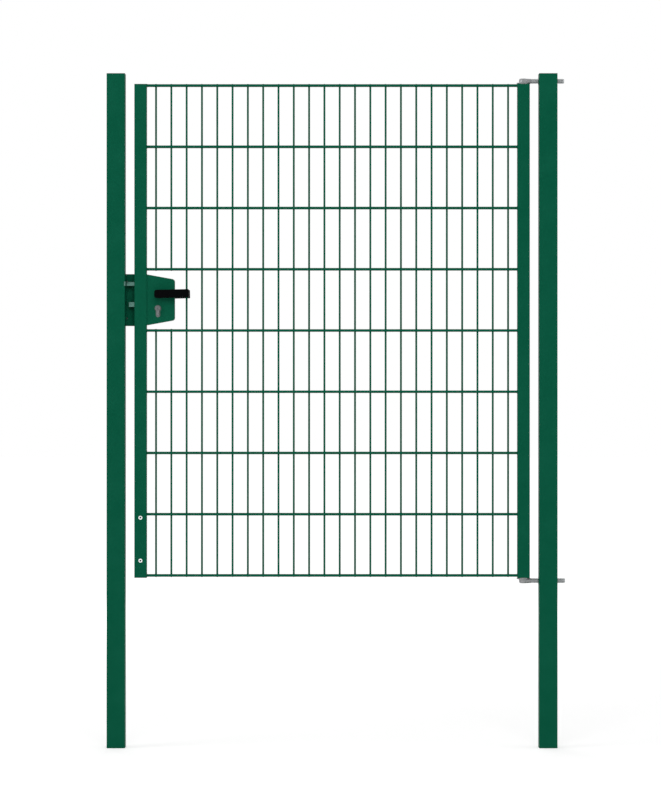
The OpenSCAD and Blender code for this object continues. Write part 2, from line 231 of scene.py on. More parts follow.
def finish_surface(material, colour, rough, bump, bump_depth, **constants):
    """Joins a colour, a roughness and a height to a Principled shader. Constants sit on its own sockets."""
    tree = material.node_tree
    raised = node(tree, "ShaderNodeBump", {"Strength": 1.0, "Distance": bump_depth * MM, "Height": bump})
    surface = node(tree, "ShaderNodeBsdfPrincipled",
                   {"Base Color": colour, "Roughness": rough, "Normal": raised.outputs[0], **constants})
    node(tree, "ShaderNodeOutputMaterial", {"Surface": surface.outputs[0]})


def ranged(tree, value, low, high, start=0.3, end=0.7):
    """Stretches a noise from start..end to low..high."""
    return node(tree, "ShaderNodeMapRange", {"Value": value, "From Min": start, "From Max": end,
                                             "To Min": low, "To Max": high}).outputs[0]


def coat(name, low, high, blotch, rough, peel, peel_depth, gloss):
    """Paint or plastic: an even colour in wide blotches under a fine peel, both sized in millimetres."""
    material = bpy.data.materials.new(name)
    tree = shader_tree(material)
    place = node(tree, "ShaderNodeTexCoord").outputs["Object"]
    colour = blend_of(tree, ranged(tree, noise(tree, place, blotch), 0, 1), low, high)
    roughness = ranged(tree, noise(tree, place, 3 * peel), rough[0], rough[1])
    finish_surface(material, colour, roughness, noise(tree, place, peel), peel_depth,
                   **{"Specular IOR Level": gloss})
    return material


# %% Coats
green_coat = coat("green_powder_coat", (0.0004, 0.0760, 0.0385), (0.0016, 0.0830, 0.0435),
                  60, (0.42, 0.47), 1.6, 0.012, 0.05)
green_wire = coat("green_wire_coat", (0.0004, 0.0770, 0.0390), (0.0020, 0.0860, 0.0455),
                  25, (0.42, 0.47), 1.2, 0.010, 0.05)
green_cap = coat("green_moulded_plastic", (0.0010, 0.0620, 0.0330), (0.0020, 0.0700, 0.0380),
                 20, (0.50, 0.60), 0.5, 0.03, 0.06)
lever_black = coat("black_moulded_grip", (0.0008, 0.0008, 0.0010), (0.0014, 0.0014, 0.0017),
                   12, (0.42, 0.55), 0.6, 0.03, 0.025)
print("coats: green coat, wire coat, cap plastic, black grip")

# %% [markdown]
# ## Metals
# Hot-dip zinc freezes in patches of crystal, the spangle. Voronoi cells a few millimetres wide give
# each patch its own shade. A thread is cut after that, and the eye bolts' rods are painted brighter
# than their eyes: partly for the bare cut metal, and partly as painted light that lifts the shade in
# the thread's grooves. One material does both by where it lies along X. Steel that slides, like the
# latch, is brushed along its length instead: its noise is stretched along X. All are full metals, so
# they mirror the white studio, and their colour is what they send back.

# %% Metal helper
BRUSH_STRETCH, GRAIN_DEPTH = 0.06, 0.02


def metal(name, low, high, spangle, rough, brushed=False, cut=None):
    """Zinc with spangle, or steel brushed along X. cut is a brighter colour, for bare cut thread and painted
    light over the shade in its grooves, and the X beyond which it holds.
    """
    material = bpy.data.materials.new(name)
    tree = shader_tree(material)
    place = node(tree, "ShaderNodeTexCoord").outputs["Object"]
    along_x = node(tree, "ShaderNodeSeparateXYZ", {0: place}).outputs[0]
    if brushed:
        place = node(tree, "ShaderNodeMapping", {"Vector": place, "Scale": (BRUSH_STRETCH, 1, 1)}).outputs[0]
        shade = noise(tree, place, spangle)
        grain = noise(tree, place, 0.5)
    else:
        cells = node(tree, "ShaderNodeTexVoronoi", {"Vector": place, "Scale": 1000 / spangle})
        shade = node(tree, "ShaderNodeSeparateColor", {0: cells.outputs["Color"]}).outputs[0]
        grain = noise(tree, place, 0.9, 3.0)
    shade = value_of(tree, "ADD", value_of(tree, "MULTIPLY", shade, 0.5),
                     value_of(tree, "MULTIPLY", noise(tree, place, 3 * spangle), 0.5))
    colour = blend_of(tree, shade, low, high)
    if cut:
        cut_and_brightened_colour, cut_x = cut
        share = ranged(tree, along_x, 0, 1, cut_x - MM, cut_x + MM)
        colour = node(tree, "ShaderNodeMix", {0: share, 6: colour, 7: (*cut_and_brightened_colour, 1)},
                      data_type="RGBA").outputs[2]
    roughness = ranged(tree, grain, rough[0], rough[1])
    finish_surface(material, colour, roughness, grain, GRAIN_DEPTH, Metallic=1.0)
    return material


# %% Metals
# The third colour is the threaded rod's: bare cut zinc, painted brighter still as painted light over the
# shade in the thread's grooves.
DARK_ZINC, PALE_ZINC, CUT_AND_BRIGHTENED_ZINC = (0.235, 0.242, 0.246), (0.325, 0.332, 0.336), (0.50, 0.515, 0.52)
BARE_ROD = 25 * MM
rod_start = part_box("hinge_post")[0].x - BARE_ROD
zinc = metal("hot_dip_zinc", DARK_ZINC, PALE_ZINC, 3.5, (0.34, 0.50))
bolt_zinc = metal("eye_bolt_zinc", DARK_ZINC, PALE_ZINC, 3.5, (0.34, 0.50), cut=(CUT_AND_BRIGHTENED_ZINC, rod_start))
bright_zinc = metal("bright_zinc", (0.78, 0.79, 0.79), (0.88, 0.89, 0.89), 2.0, (0.20, 0.30))
# The lock steel is painted darker than bare steel, as painted shade, and tinted green like the coat around
# it.
lock_steel = metal("brushed_lock_steel_painted_shade", (0.075, 0.165, 0.135), (0.105, 0.210, 0.178), 1.2, (0.26, 0.38),
                   brushed=True)
# The nickel is painted darker than bare nickel, as painted shade.
nickel = metal("satin_nickel_painted_shade", (0.125, 0.137, 0.138), (0.170, 0.182, 0.183), 1.5, (0.24, 0.34))
print("metals: zinc, eye bolt zinc, bright zinc, lock steel, nickel")

# %% [markdown]
# ## The tubes and small solids that stay as they are
# A square tube with round corners is already right in the frame, so it keeps its mesh and only gets
# its finish. A table from the frame's slot names to our materials does it for all of them at once.

# %% Finishes on the frame's nodes
FINISHES = {"green_coat": green_coat, "green_wire": green_wire, "green_cap": green_cap, "zinc": zinc,
            "bright_zinc": bright_zinc, "lock_steel": lock_steel, "lever_black": lever_black}
for solid in nodes.values():
    for place in solid.material_slots:
        place.material = FINISHES[place.material.name.split(".")[0]]
print("finished nodes:", len(nodes))

# %% [markdown]
# ## Meshes from our own code
# The next helpers cover every piece we make: one links a mesh and gives it smooth sides with crisp
# edges, and one says which body it rides on and which solids it stands for. Then come a lathe, which
# turns a profile, and a press, which extrudes an outline. A profile that starts and ends on the axis
# is solid, and any other is closed to a ring.

# %% Mesh helpers
def as_object(name, mesh, material, crisp=35):
    """Links a mesh, rounds its shading and keeps edges crisp where faces turn more than crisp degrees."""
    mesh.materials.clear()
    mesh.materials.append(material)
    if crisp:
        mesh.shade_smooth()
        mesh.set_sharp_from_angle(angle=radians(crisp))
    made = bpy.data.objects.new(name, mesh)
    scene.collection.objects.link(made)
    return made


def settle(piece, body, slot, *stands_for):
    """Says what the piece rides on and which solids it stands for. Its slot is not used."""
    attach(piece, body)
    if stands_for:
        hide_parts(*stands_for)
    print("piece:", piece.name, "on", body, len(piece.data.polygons), "faces")
    return piece


def mesh_from(name, bm):
    """Turns a bmesh into a mesh with outward faces."""
    bmesh.ops.recalc_face_normals(bm, faces=bm.faces)
    mesh = bpy.data.meshes.new(name)
    bm.to_mesh(mesh)
    bm.free()
    return mesh


# %% Lathe and press
def turned(bm, profile, place=Matrix(), sides=40):
    """Turns (radius, height) points in mm about Z into bm, then moves them by place. A third value makes a
    point's ring a hexagon, with its flats at that radius."""
    rings = []
    for radius, height, *hexagon in profile:
        ring = []
        for t in [2 * pi * k / sides for k in range(sides if radius else 1)]:
            out = radius / cos((t + pi / 6) % (pi / 3) - pi / 6) if hexagon else radius
            ring.append(bm.verts.new(place @ Vector((out * cos(t) * MM, out * sin(t) * MM, height * MM))))
        rings.append(ring)
    closed = profile[0][0] and profile[-1][0]
    for low, high in zip(rings, rings[1:] + rings[:1] if closed else rings[1:]):
        for k in range(sides):
            corners = (low[k % len(low)], low[(k + 1) % len(low)],
                       high[(k + 1) % len(high)], high[k % len(high)])
            bm.faces.new(list(dict.fromkeys(corners)))


def prism(bm, outlines, place, start, end):
    """Extrudes an outline in X and Z from y start to y end, in mm. A second one, with as many points,
    makes it a ring between the two."""
    rings = [[bm.verts.new(place @ Vector((x * MM, y * MM, z * MM))) for x, z in outline]
             for y in (start, end) for outline in outlines]
    if len(outlines) == 1:
        bm.faces.new(rings[0])
        bm.faces.new(rings[1])
        order = [0, 1]
    else:
        order = [0, 2, 3, 1, 0]
    for low, high in zip(order, order[1:]):
        for k in range(len(rings[0])):
            bm.faces.new([rings[low][k - 1], rings[low][k], rings[high][k], rings[high][k - 1]])


def arc(centre, radius, start, end, steps=4):
    """Points on an arc, from one angle to another in degrees, for a profile or an outline."""
    turns = [radians(start + (end - start) * k / steps) for k in range(steps + 1)]
    return [(centre[0] + radius * cos(t), centre[1] + radius * sin(t)) for t in turns]


# %% [markdown]
# ## Soft edges
# Nothing made of sheet or bar has a truly sharp edge, and the thin line of light along a rounded one
# is what makes it look solid. A solid of the frame can't be edited, so we copy it, merge its loose
# triangles, clear the lines inside flat faces and let a Bevel modifier round what is left.

# %% Soft copy helper
def plain_mesh(piece):
    """Applies a piece's modifiers and leaves it with the plain result."""
    graph = bpy.context.evaluated_depsgraph_get()
    result = bpy.data.meshes.new_from_object(piece.evaluated_get(graph), depsgraph=graph)
    piece.modifiers.clear()
    piece.data = result
    return piece


def soft_copy(name, solid, width, slot):
    """A copy of one solid with its edges rounded by width millimetres, standing for that solid."""
    bm = bmesh.new()
    bm.from_mesh(nodes[solid].data)
    bmesh.ops.remove_doubles(bm, verts=bm.verts, dist=0.01 * MM)
    bmesh.ops.dissolve_limit(bm, angle_limit=radians(1), verts=bm.verts, edges=bm.edges)
    mesh = mesh_from(name, bm)
    piece = as_object(name, mesh, FINISHES[slot], crisp=0)
    mesh.shade_smooth()
    bevel = piece.modifiers.new("round_edges", "BEVEL")
    bevel.width = width * MM
    bevel.segments = 3
    bevel.limit_method = "ANGLE"
    bevel.angle_limit = radians(40)
    bevel.harden_normals = True
    plain_mesh(piece)
    return settle(piece, nodes[solid]["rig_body"], slot, solid)


# %% Soft pieces
SOFT_EDGES = [
    ("lock_case_shell", "lock_case", 1.2, "green_coat"),
    ("keep_angle", "keep_plate", 0.6, "green_coat"),
    ("strike_plate", "latch_strike", 0.4, "lock_steel"),
    ("latch_tongue", "latch_bolt", 0.5, "lock_steel"),
    ("dead_bolt_bar", "dead_bolt", 0.5, "lock_steel"),
    ("hinge_post_lid", "hinge_post_cap", 1.0, "green_cap"),
    ("latch_post_lid", "latch_post_cap", 1.0, "green_cap"),
    ("stile_top_lid", "stile_top_cap", 0.7, "green_cap"),
    ("stile_bottom_lid", "stile_bottom_cap", 0.7, "green_cap"),
    ("upper_washer_ring", "upper_washer", 0.25, "zinc"),
    ("lower_washer_ring", "lower_washer", 0.25, "zinc"),
    ("front_lever_grip", "front_lever", 1.7, "lever_black"),
    ("back_lever_grip", "back_lever", 1.7, "lever_black"),
    ("front_lever_neck", "front_neck", 0.6, "lever_black"),
    ("back_lever_neck", "back_neck", 0.6, "lever_black"),
]
for row in SOFT_EDGES:
    soft_copy(*row)
print("softened:", len(SOFT_EDGES), "solids")

# %% [markdown]
# ## Geometry Nodes: how a tree is made and used
# What repeats is grown by Geometry Nodes. A tree has named inputs for its sizes. We make an object,
# hang the tree on it as a modifier, fill the inputs, take the evaluated result as a plain mesh and
# drop the modifier. Inputs are filled by identifier, since names may repeat.

# %% Tree helpers
KINDS = {float: "NodeSocketFloat", int: "NodeSocketInt", tuple: "NodeSocketVector"}


def growth(name, **inputs):
    """A new Geometry Nodes tree, its input sockets by name, and a function that ends it."""
    tree = bpy.data.node_groups.new(name, "GeometryNodeTree")
    tree.interface.new_socket("Geometry", in_out="INPUT", socket_type="NodeSocketGeometry")
    for label, default in inputs.items():
        made = tree.interface.new_socket(label, in_out="INPUT", socket_type=KINDS[type(default)])
        made.default_value = default
    tree.interface.new_socket("Material", in_out="INPUT", socket_type="NodeSocketMaterial")
    tree.interface.new_socket("Geometry", in_out="OUTPUT", socket_type="NodeSocketGeometry")
    given = node(tree, "NodeGroupInput").outputs

    def end(*parts):
        both = node(tree, "GeometryNodeJoinGeometry")
        for part in parts:
            tree.links.new(part, both.inputs[0])
        real = node(tree, "GeometryNodeRealizeInstances", {0: both.outputs[0]})
        painted = node(tree, "GeometryNodeSetMaterial",
                       {"Geometry": real.outputs[0], "Material": given["Material"]})
        node(tree, "NodeGroupOutput", {0: painted.outputs[0]})
        return tree

    return tree, given, end


def grow(name, tree, material, base=None, **values):
    """Runs a tree and returns its result as an object with a plain mesh."""
    piece = bpy.data.objects.new(name, base or bpy.data.meshes.new(name))
    scene.collection.objects.link(piece)
    modifier = piece.modifiers.new(tree.name, "NODES")
    modifier.node_group = tree
    values["Material"] = material
    for socket in tree.interface.items_tree:
        if socket.in_out == "INPUT" and socket.name in values:
            modifier[socket.identifier] = values[socket.name]
    plain_mesh(piece)
    piece.data.shade_smooth()
    piece.data.set_sharp_from_angle(angle=radians(35))
    return piece


# %% Shape helpers for the trees
def vector_of(tree, x=0.0, y=0.0, z=0.0):
    """One vector from three values or sockets."""
    return node(tree, "ShaderNodeCombineXYZ", {0: x, 1: y, 2: z}).outputs[0]


def bar(tree, radius, length, sides, lie_along_x=False):
    """A round bar that starts at the origin and runs along +Z, or along +X."""
    body = node(tree, "GeometryNodeMeshCylinder", {"Vertices": sides, "Radius": radius, "Depth": length})
    lift = vector_of(tree, z=value_of(tree, "MULTIPLY", length, 0.5))
    made = node(tree, "GeometryNodeTransform", {"Geometry": body.outputs[0], "Translation": lift})
    if lie_along_x:
        made = node(tree, "GeometryNodeTransform", {"Geometry": made.outputs[0], "Rotation": (0, pi / 2, 0)})
    return made.outputs[0]


def row_of(tree, shape, count, start, step):
    """Instances of shape along a line."""
    line = node(tree, "GeometryNodeMeshLine", {"Count": count, "Start Location": start, "Offset": step})
    made = node(tree, "GeometryNodeInstanceOnPoints", {"Points": line.outputs[0], "Instance": shape})
    return made.outputs[0]


# %% [markdown]
# ## The welded double-wire panel
# Crosswise wires run in pairs, one in front of the uprights and one behind, and each crossing is
# welded. An array of cylinders would do for the wires, but the lock's bay has two uprights cut out,
# and the welds must follow. So one tree grows it all from counts and pitches: a row of pairs, a row
# of full uprights, a row of cut ones, and a small round weld at every contact. The panel is made in two
# halves, as it is in the frame. A wire's coat adds a little to its steel on every side.

# %% Sizes in the panel tree
tree, given, end = growth(
    "double_wire_panel", Rows=5, First_Row=0.562, Row_Pitch=0.2, Left=-1.31, Width=1.21, Pair_Offset=0.0065,
    Wire=0.008, Uprights=24, First_Upright=-1.28, Upright_Pitch=0.05, Upright=0.006, Foot=0.558, Top=1.462,
    Cut=2, Cut_Foot=0.558, Cut_Top=1.366, Sides=16)
half_wire = value_of(tree, "MULTIPLY", given["Wire"], 0.5)
half_upright = value_of(tree, "MULTIPLY", given["Upright"], 0.5)
row_step = vector_of(tree, z=given["Row_Pitch"])
upright_step = vector_of(tree, x=given["Upright_Pitch"])


def pair_of(shape, offset):
    """One shape in front and one behind."""
    first = vector_of(tree, y=value_of(tree, "MULTIPLY", offset, -1))
    apart = vector_of(tree, y=value_of(tree, "MULTIPLY", offset, 2))
    return row_of(tree, shape, 2, first, apart)


# %% Wires of the panel
wire_pair = pair_of(bar(tree, half_wire, given["Width"], given["Sides"], True), given["Pair_Offset"])
first_pair = vector_of(tree, given["Left"], 0, given["First_Row"])
rows = row_of(tree, wire_pair, given["Rows"], first_pair, row_step)
whole = bar(tree, half_upright, value_of(tree, "SUBTRACT", given["Top"], given["Foot"]), given["Sides"])
first_whole = value_of(tree, "ADD", given["First_Upright"],
                       value_of(tree, "MULTIPLY", given["Cut"], given["Upright_Pitch"]))
uprights = row_of(tree, whole, value_of(tree, "SUBTRACT", given["Uprights"], given["Cut"]),
                  vector_of(tree, first_whole, 0, given["Foot"]), upright_step)
short_length = value_of(tree, "SUBTRACT", given["Cut_Top"], given["Cut_Foot"])
short = bar(tree, half_upright, short_length, given["Sides"])
first_short = vector_of(tree, given["First_Upright"], 0, given["Cut_Foot"])
cut_uprights = row_of(tree, short, given["Cut"], first_short, upright_step)

# %% Welds of the panel
WELD_WIDE, WELD_DEEP, WELD_HIGH = 0.74, 0.36, 0.66
ball = node(tree, "GeometryNodeMeshUVSphere", {"Segments": 10, "Rings": 6, "Radius": 1.0}).outputs[0]
weld_size = vector_of(tree, value_of(tree, "MULTIPLY", given["Upright"], WELD_WIDE),
                      value_of(tree, "MULTIPLY", given["Upright"], WELD_DEEP),
                      value_of(tree, "MULTIPLY", given["Wire"], WELD_HIGH))
weld = node(tree, "GeometryNodeTransform", {"Geometry": ball, "Scale": weld_size}).outputs[0]
weld_pair = pair_of(weld, value_of(tree, "SUBTRACT", given["Pair_Offset"], half_wire))
weld_row = row_of(tree, weld_pair, given["Uprights"], (0, 0, 0), upright_step)
first_weld = vector_of(tree, given["First_Upright"], 0, given["First_Row"])
welds = row_of(tree, weld_row, given["Rows"], first_weld, row_step)
panel = end(rows, uprights, cut_uprights, welds)
print("panel tree:", len(panel.nodes), "nodes")

# %% Panel halves
WIRE, UPRIGHT, PAINT = 8, 6, 0.2
ROW_PITCH, BAYS, LOCK_BAY = 200, 8, 5
UPRIGHTS, PITCH = 24, 50
mesh_low, mesh_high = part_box("lower_mesh")[0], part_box("upper_mesh")[1]
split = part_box("lower_mesh")[1].z
first_row = mesh_low.z + WIRE / 2 * MM
first_upright = mesh_low.x + ((mesh_high.x - mesh_low.x) - (UPRIGHTS - 1) * PITCH * MM) / 2
bay_foot = first_row + (LOCK_BAY - 1) * ROW_PITCH * MM
bay_top = bay_foot + ROW_PITCH * MM
shared = {"Left": mesh_low.x, "Width": mesh_high.x - mesh_low.x, "First_Upright": first_upright,
          "Row_Pitch": ROW_PITCH * MM, "Pair_Offset": mesh_high.y - WIRE / 2 * MM,
          "Uprights": UPRIGHTS, "Upright_Pitch": PITCH * MM,
          "Wire": (WIRE + 2 * PAINT) * MM, "Upright": (UPRIGHT + 2 * PAINT) * MM}
lower_wires = grow("lower_panel_wires", panel, green_wire, **shared, Rows=LOCK_BAY, First_Row=first_row,
                   Foot=mesh_low.z, Top=split, Cut_Foot=mesh_low.z, Cut_Top=bay_foot + WIRE / 2 * MM)
settle(lower_wires, "leaf", "green_wire", "lower_mesh")
upper_wires = grow("upper_panel_wires", panel, green_wire, **shared, Rows=BAYS + 1 - LOCK_BAY,
                   First_Row=bay_top, Foot=split, Top=mesh_high.z, Cut_Foot=bay_top - WIRE / 2 * MM,
                   Cut_Top=mesh_high.z)
settle(upper_wires, "leaf", "green_wire", "upper_mesh")

# %% [markdown]
# ## Weld beads
# A bead is a thread of melted metal laid along a joint, with a ripple for each move of the torch. It
# follows a path, so a tree can make every bead of the gate: the path is a few edges, the tree turns
# them into curves, lets the radius rise and fall along the way, and wraps a ring of faces round them.

# %% Bead tree
BEAD_NOISE, RIPPLE_SHARE = 260.0, 0.12
tree, given, end = growth("weld_bead", Radius=0.0015, Ripple=0.0025, Step=0.0008, Seed=1.0)
path = node(tree, "GeometryNodeMeshToCurve", {0: given["Geometry"]}).outputs[0]
path = node(tree, "GeometryNodeResampleCurve", {"Curve": path, "Length": given["Step"]},
            mode="LENGTH").outputs[0]
along = node(tree, "GeometryNodeSplineParameter").outputs["Length"]
angle = value_of(tree, "DIVIDE", value_of(tree, "MULTIPLY", along, 2 * pi), given["Ripple"])
wave = value_of(tree, "SINE", angle)
uneven = node(tree, "ShaderNodeTexNoise", {"W": given["Seed"], "Scale": BEAD_NOISE, "Detail": 1.0},
              noise_dimensions="4D").outputs[0]
size = value_of(tree, "ADD", value_of(tree, "MULTIPLY", wave, RIPPLE_SHARE),
                value_of(tree, "ADD", uneven, 0.5))
ring = node(tree, "GeometryNodeCurvePrimitiveCircle", {"Resolution": 8, "Radius": given["Radius"]})
bead = node(tree, "GeometryNodeCurveToMesh",
            {"Curve": path, "Profile Curve": ring.outputs[0], "Scale": size, "Fill Caps": True})
bead_tree = end(bead.outputs[0])
print("bead tree:", len(bead_tree.nodes), "nodes")


# %% Path helpers
def paths(name, lines):
    """A mesh of edges from lines, each a list of points and whether it is closed."""
    verts, edges = [], []
    for points, closed in lines:
        first = len(verts)
        verts += points
        edges += [(first + k, first + k + 1) for k in range(len(points) - 1)]
        edges += [(len(verts) - 1, first)] if closed else []
    mesh = bpy.data.meshes.new(name)
    mesh.from_pydata(verts, edges, [])
    return mesh


def ring_about_x(x, y, z, radius, steps=24):
    """A closed ring of points that faces along X."""
    turns = [2 * pi * k / steps for k in range(steps)]
    return [(x, y + radius * cos(t), z + radius * sin(t)) for t in turns], True


# %% [markdown]
# Each crosswise wire is welded to the stile all the way round. There are 36 of these small rings.

# %% Beads where the wires meet the stiles
BEAD_OUT = 0.4 * MM
row_heights = [first_row + k * ROW_PITCH * MM for k in range(BAYS + 1)]
wire_y = mesh_high.y - WIRE / 2 * MM
wire_rings = [ring_about_x(x, side * wire_y, z, WIRE / 2 * MM + BEAD_OUT)
              for x in (mesh_low.x, mesh_high.x) for side in (-1, 1) for z in row_heights]
wire_beads = grow("wire_end_beads", bead_tree, green_coat, paths("wire_end_beads", wire_rings),
                  Radius=0.0011, Ripple=0.0028, Step=0.0012, Seed=2.0)
settle(wire_beads, "leaf", "green_coat")

# %% [markdown]
# The lock case is welded to the stile down its front and back, and the threaded sleeves are welded
# into the hinge post. The beads lie half in the metal, so only a low ridge shows under the paint.

# %% Beads on the lock case
BEAD_SHORT = 2 * MM
case_low, case_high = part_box("lock_case")
case_lines = [([(case_low.x, y, z) for z in (case_low.z + BEAD_SHORT, case_high.z - BEAD_SHORT)], False)
              for y in (case_low.y, case_high.y)]
case_beads = grow("lock_case_beads", bead_tree, green_coat, paths("lock_case_beads", case_lines),
                  Radius=0.0021, Ripple=0.0032, Step=0.0008, Seed=5.0)
settle(case_beads, "leaf", "green_coat")

# %% Beads on the sleeves
sleeve_rings = []
for sleeve in ("upper_bolt_sleeve", "lower_bolt_sleeve"):
    low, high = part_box(sleeve)
    for x in (low.x, high.x):
        sleeve_rings.append(ring_about_x(x, 0, (low.z + high.z) / 2, (high.y - low.y) / 2 + BEAD_OUT, 40))
sleeve_beads = grow("sleeve_beads", bead_tree, green_coat, paths("sleeve_beads", sleeve_rings),
                    Radius=0.0013, Ripple=0.0030, Step=0.0010, Seed=7.0)
settle(sleeve_beads, "posts", "green_coat")

# %% [markdown]
# ## Threads
# A screw thread is one ridge wound round a core. Geometry Nodes has a spiral curve, and a four-cornered
# profile swept along it is the ridge. The spiral is reversed, because it is left-handed otherwise. The
# ridge's size falls to nothing over the first and last half turn, as a cut thread runs out.

# %% Thread tree
tree, given, end = growth("thread", Length=0.1, Root_Radius=0.0068, Depth=0.0012, Pitch=0.002,
                          Turn_Steps=20, Inward=0.0)
turns = value_of(tree, "DIVIDE", given["Length"], given["Pitch"])
coil = node(tree, "GeometryNodeCurveSpiral",
            {"Resolution": given["Turn_Steps"], "Rotations": turns, "Start Radius": given["Root_Radius"],
             "End Radius": given["Root_Radius"], "Height": given["Length"], "Reverse": True}).outputs[0]
part = node(tree, "GeometryNodeSplineParameter").outputs["Factor"]
near_end = value_of(tree, "MINIMUM", part, value_of(tree, "SUBTRACT", 1.0, part))
half_turns = value_of(tree, "MULTIPLY", near_end, value_of(tree, "MULTIPLY", turns, 2.0))
run_out = value_of(tree, "MINIMUM", 1.0, value_of(tree, "ADD", 0.02, half_turns))
coil = node(tree, "GeometryNodeSetCurveNormal", {"Curve": coil}, mode="Z_UP").outputs[0]

# %% Ridge of the thread tree
FOOT_SHARE, CREST_SHARE, SUNK_SHARE = 0.46, 0.09, 0.12
foot_half = value_of(tree, "MULTIPLY", given["Pitch"], FOOT_SHARE)
crest_half = value_of(tree, "MULTIPLY", given["Pitch"], CREST_SHARE)
sunk = value_of(tree, "MULTIPLY", given["Depth"], -SUNK_SHARE)
profile = node(tree, "GeometryNodeCurvePrimitiveQuadrilateral", {
    "Point 1": vector_of(tree, sunk, value_of(tree, "MULTIPLY", foot_half, -1)),
    "Point 2": vector_of(tree, sunk, foot_half),
    "Point 3": vector_of(tree, given["Depth"], crest_half),
    "Point 4": vector_of(tree, given["Depth"], value_of(tree, "MULTIPLY", crest_half, -1))},
    mode="POINTS").outputs[0]
outward = value_of(tree, "SUBTRACT", 1.0, value_of(tree, "MULTIPLY", given["Inward"], 2.0))
flip = vector_of(tree, outward, 1.0, 1.0)
profile = node(tree, "GeometryNodeTransform", {"Geometry": profile, "Scale": flip}).outputs[0]
ridge = node(tree, "GeometryNodeCurveToMesh",
             {"Curve": coil, "Profile Curve": profile, "Scale": run_out, "Fill Caps": True}).outputs[0]
thread_tree = end(ridge)
print("thread tree:", len(thread_tree.nodes), "nodes")

# %% [markdown]
# ## Eye bolts
# Each hinge is a forged eye on a threaded rod that screws through the post, so the leaf can be set
# in and out. The eye is turned on the lathe with its flange and the rod is turned too. Between them,
# where the hot metal was drawn down from the eye to the rod, a skin over a few rounded sections makes
# the root. The thread comes from the tree. We join them into one piece, which stands for the plain solid.

# %% Joining helper
def joined(piece, *others):
    """Adds other objects' meshes to the first and removes them."""
    bm = bmesh.new()
    for one in (piece, *others):
        bm.from_mesh(one.data)
    bm.to_mesh(piece.data)
    bm.free()
    piece.data.set_sharp_from_angle(angle=radians(35))
    for one in others:
        bpy.data.objects.remove(one)
    return piece


# %% Eye in section
BORE, EYE_R, FLANGE_T = 12.16, 14, 3.2
BORE_ROUND, RIM_ROUND, FILLET, EYE_ROUND, DRAFT = 0.6, 0.8, 3, 5, 0.8


def eye_profile(half, flange_r):
    """The eye in section, half its height to each side: bore, flange, fillet, sloped side, round top."""
    bore_round, rim = BORE / 2 + BORE_ROUND, flange_r - RIM_ROUND
    return (arc((bore_round, -half + BORE_ROUND), BORE_ROUND, 180, 270)
            + arc((rim, -half + RIM_ROUND), RIM_ROUND, -90, 0)
            + arc((rim, -half + FLANGE_T - RIM_ROUND), RIM_ROUND, 0, 90)
            + arc((EYE_R + DRAFT + FILLET, -half + FLANGE_T + FILLET), FILLET, 270, 180)
            + arc((EYE_R - EYE_ROUND, half - EYE_ROUND), EYE_ROUND, 0, 90, 6)
            + arc((bore_round, half - BORE_ROUND), BORE_ROUND, 90, 180))


# %% Forged root
# Each section: distance from the eye's middle, half width, half height, and 1 for round or less for boxy
ROOT_SECTIONS = [(BORE / 2 + 1, 12.0, 8.2, 0.55), (10, 11.7, 8.2, 0.6), (14, 10.6, 8.1, 0.75),
                 (19, 8.9, 8.0, 0.9), (24, 8.0, 8.0, 1.0)]


def forged_root(bm, centre, sides=32):
    """Skins the rounded sections, which face along X. It starts outside the bore, where the pin turns."""
    rings = []
    for x, half_width, half_height, roundness in ROOT_SECTIONS:
        ring = []
        for k in range(sides):
            c, s = cos(2 * pi * k / sides), sin(2 * pi * k / sides)
            y = copysign(abs(c) ** roundness, c) * half_width
            z = copysign(abs(s) ** roundness, s) * half_height
            ring.append(bm.verts.new(centre + Vector((x * MM, y * MM, z * MM))))
        rings.append(ring)
    for low, high in zip(rings, rings[1:]):
        for k in range(sides):
            bm.faces.new([low[k - 1], low[k], high[k], high[k - 1]])
    bm.faces.new(rings[0])
    bm.faces.new(rings[-1])


# %% Eye bolt pieces
ROD, CORE, THREAD_PITCH = 16, 13.7, 2.0
ROD_INSET, NECK, SHOULDER, TIP_CHAMFER, TIP_BARE = 3.0, 10.0, 1.4, 0.8, 1.5


def eye_bolt(name, solid, above):
    """One eye bolt; above is 1 where the eye lies over the leaf and -1 under it."""
    low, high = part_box(solid)
    pin_low, pin_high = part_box(solid.replace("eye_bolt", "hinge_pin"))
    axis = Vector(((pin_low.x + pin_high.x) / 2, 0, (low.z + high.z) / 2))
    bm = bmesh.new()
    profile = eye_profile((high.z - low.z) / 2 / MM, (high.y - low.y) / 2 / MM)
    turned(bm, profile, Matrix.Translation(axis) @ Matrix.Diagonal((1, 1, above, 1)), 48)
    forged_root(bm, axis)
    along_x = Matrix.Rotation(pi / 2, 4, "Y")
    start, neck_end, tip = EYE_R - ROD_INSET, EYE_R + NECK, (high.x - axis.x) / MM
    rod = [(0, start), (ROD / 2, start), (ROD / 2, neck_end), (CORE / 2, neck_end + SHOULDER),
           (CORE / 2, tip - TIP_CHAMFER), (CORE / 2 - TIP_CHAMFER, tip), (0, tip)]
    turned(bm, rod, Matrix.Translation(axis) @ along_x, 32)
    piece = as_object(name, mesh_from(name, bm), bolt_zinc)
    cut = grow(name + "_thread", thread_tree, bolt_zinc, Length=(tip - TIP_BARE - neck_end) * MM,
               Root_Radius=CORE / 2 * MM, Depth=(ROD - CORE) / 2 * MM, Pitch=THREAD_PITCH * MM)
    cut.data.transform(Matrix.Translation(axis + Vector((neck_end * MM, 0, 0))) @ along_x)
    return settle(joined(piece, cut), "posts", "zinc", solid)


eye_bolt("upper_eye_bolt_threaded", "upper_eye_bolt", 1)
eye_bolt("lower_eye_bolt_threaded", "lower_eye_bolt", -1)

# %% [markdown]
# ## Hinge pins
# Each end of the hinge stile is closed by a block with the pin standing on it. The block is welded in
# and painted with the leaf, while the pin stays bare zinc, so we make two pieces of one solid.

# %% Pin and block pieces
PIN_PLAY, PIN_CHAMFER, PIN_SUNK, BLOCK_CORNER = 0.08, 0.8, 1, 1.0
stile_low, stile_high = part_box("hinge_stile")


